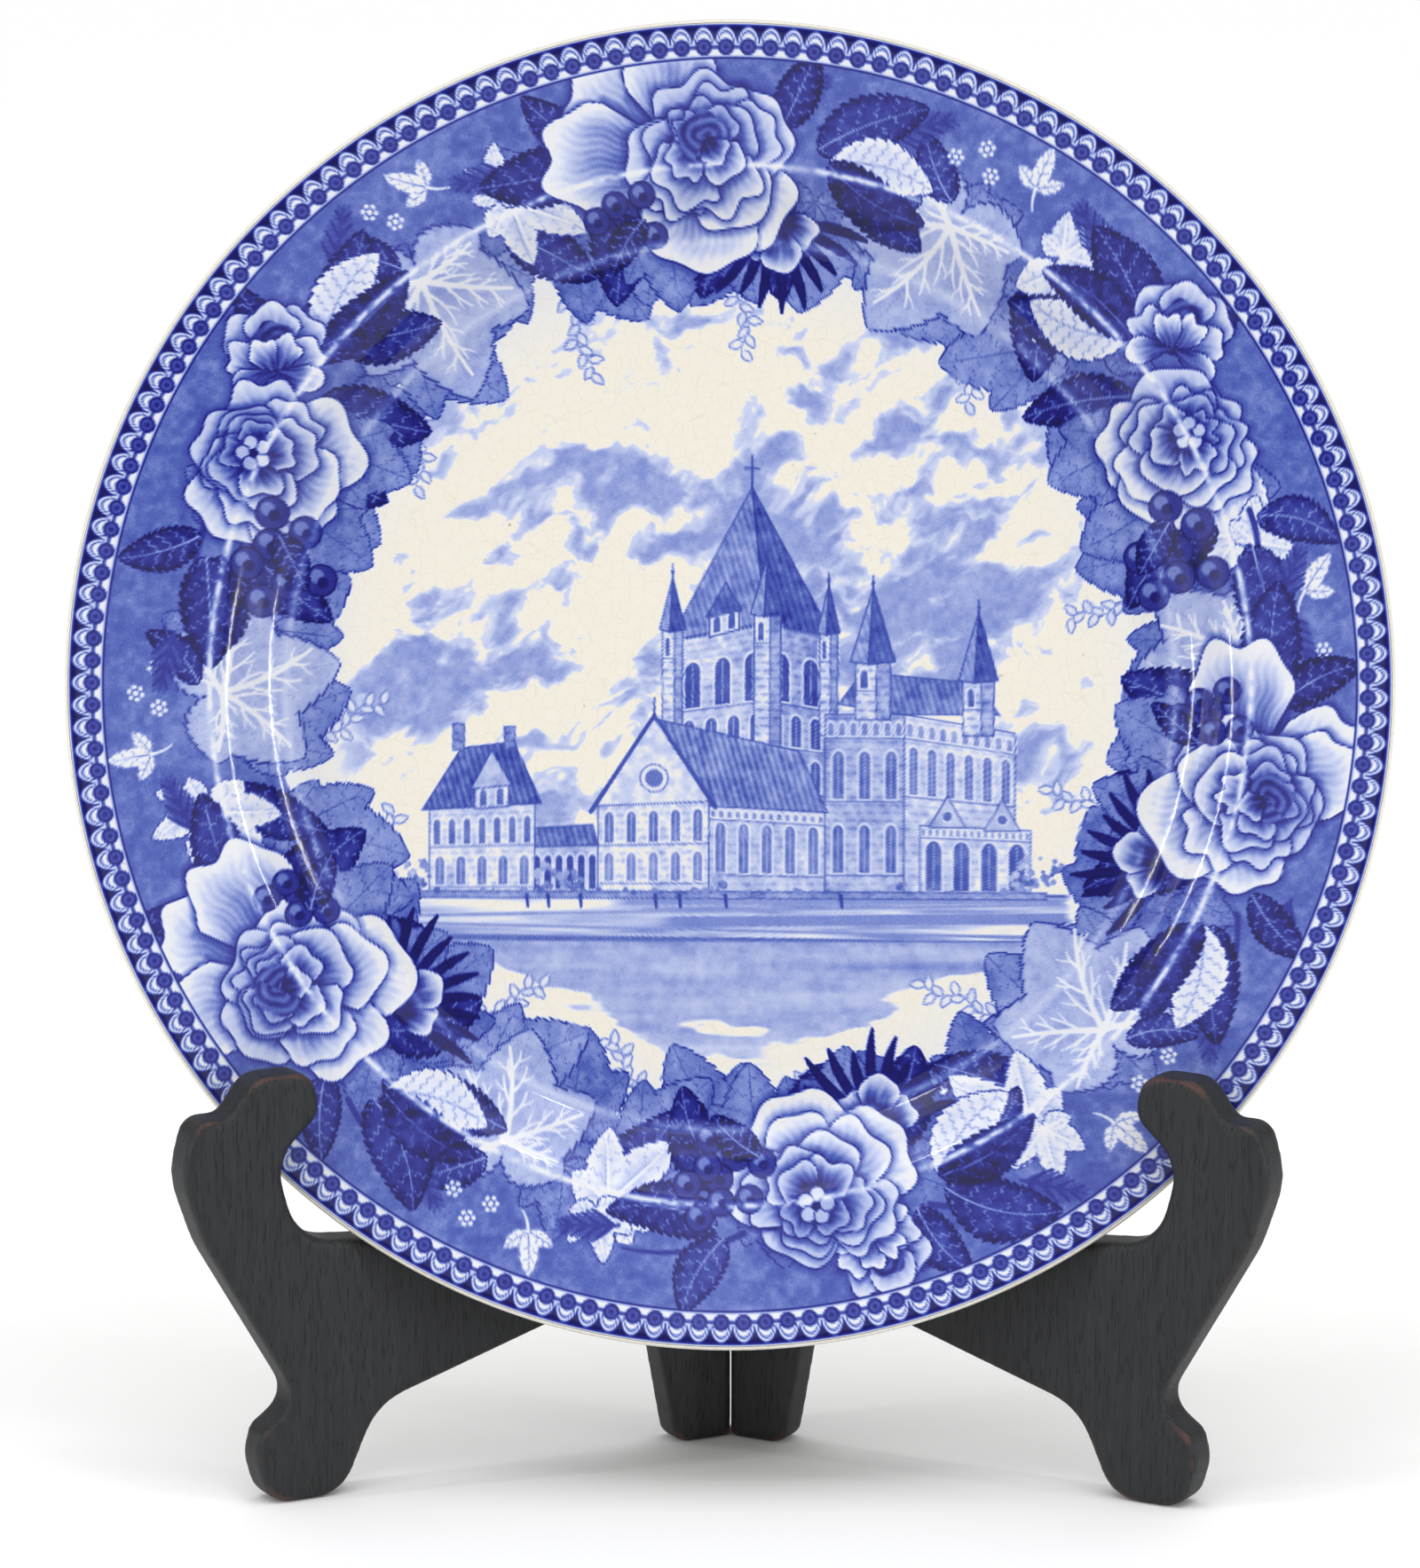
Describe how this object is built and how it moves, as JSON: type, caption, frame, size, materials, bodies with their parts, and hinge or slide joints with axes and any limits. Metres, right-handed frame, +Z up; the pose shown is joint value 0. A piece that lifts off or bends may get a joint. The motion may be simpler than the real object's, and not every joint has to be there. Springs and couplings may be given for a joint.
{
  "type": "souvenir plate",
  "caption": "Round transfer-printed earthenware plate standing on a two-board folding wooden stand with brass butt hinges.",
  "frame": {"origin": "on the table, under the middle of the object's box", "axes": "+Z up, the plate's printed face looks towards -Y"},
  "size_m": [0.235, 0.0712, 0.2578],
  "materials": {
    "glaze": "glossy glazed earthenware, printed in blue",
    "wood": "satin black-brown stain",
    "brass": "dull aged brass"
  },
  "bodies": {
    "hinge_pins": {"lower_hinge_pin": "brass", "upper_hinge_pin": "brass"},
    "left_half": {"left_board": "wood", "lower_left_leaf": "brass", "lower_left_screw_1": "brass", "lower_left_screw_2": "brass", "upper_left_leaf": "brass", "upper_left_screw_1": "brass", "upper_left_screw_2": "brass"},
    "right_half": {"right_board": "wood", "lower_right_leaf": "brass", "lower_right_screw_1": "brass", "lower_right_screw_2": "brass", "upper_right_leaf": "brass", "upper_right_screw_1": "brass", "upper_right_screw_2": "brass"},
    "plate": {"plate": "glaze"}
  },
  "joints": [
    {"name": "plate_lift", "type": "slide", "parent": "hinge_pins", "child": "plate", "axis": [0, 0, 1], "range_m": [0, 0.12]},
    {"name": "left_fold", "type": "hinge", "parent": "hinge_pins", "child": "left_half", "pos_m": [0, 0.01483, 0], "axis": [0, 0, 1], "range_deg": [0, 61]},
    {"name": "right_fold", "type": "hinge", "parent": "hinge_pins", "child": "right_half", "pos_m": [0, 0.01483, 0], "axis": [0, 0, -1], "range_deg": [0, 61]}
  ],
  "couplings": [
    {"joint": "left_fold", "follows": "plate_lift", "rad_per_m": 8.7994},
    {"joint": "right_fold", "follows": "plate_lift", "rad_per_m": 8.7994}
  ]
}
